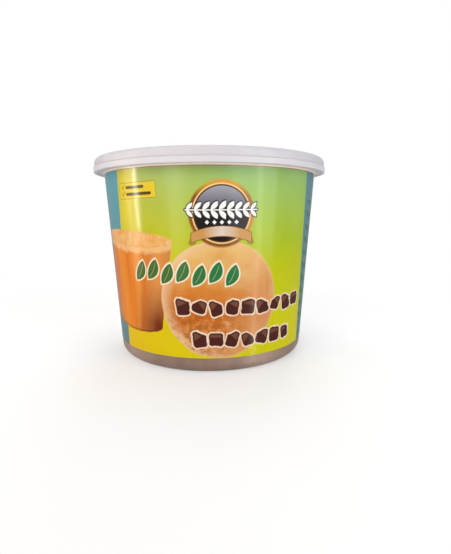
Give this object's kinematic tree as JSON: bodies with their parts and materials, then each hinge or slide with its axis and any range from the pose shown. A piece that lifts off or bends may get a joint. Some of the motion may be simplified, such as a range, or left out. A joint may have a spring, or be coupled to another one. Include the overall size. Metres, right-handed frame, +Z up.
{
  "type": "lidded plastic food tub",
  "caption": "Shut round plastic food tub with tapered wall, press-on lid and printed wrap label.",
  "frame": {"origin": "middle of the base, on the surface that the tub stands on", "axes": "+Z up through the middle of the lid; -Y towards the front of the label, +X to its right"},
  "size_m": [0.122, 0.122, 0.101],
  "materials": {
    "tub_plastic": "frosted polypropylene over brown jaggery, satin",
    "lid_plastic": "frosted natural polypropylene, satin",
    "label_print": "printed film, glossy"
  },
  "bodies": {
    "root": {"tub": "tub_plastic", "lid": "lid_plastic", "label": "label_print"}
  },
  "joints": []
}
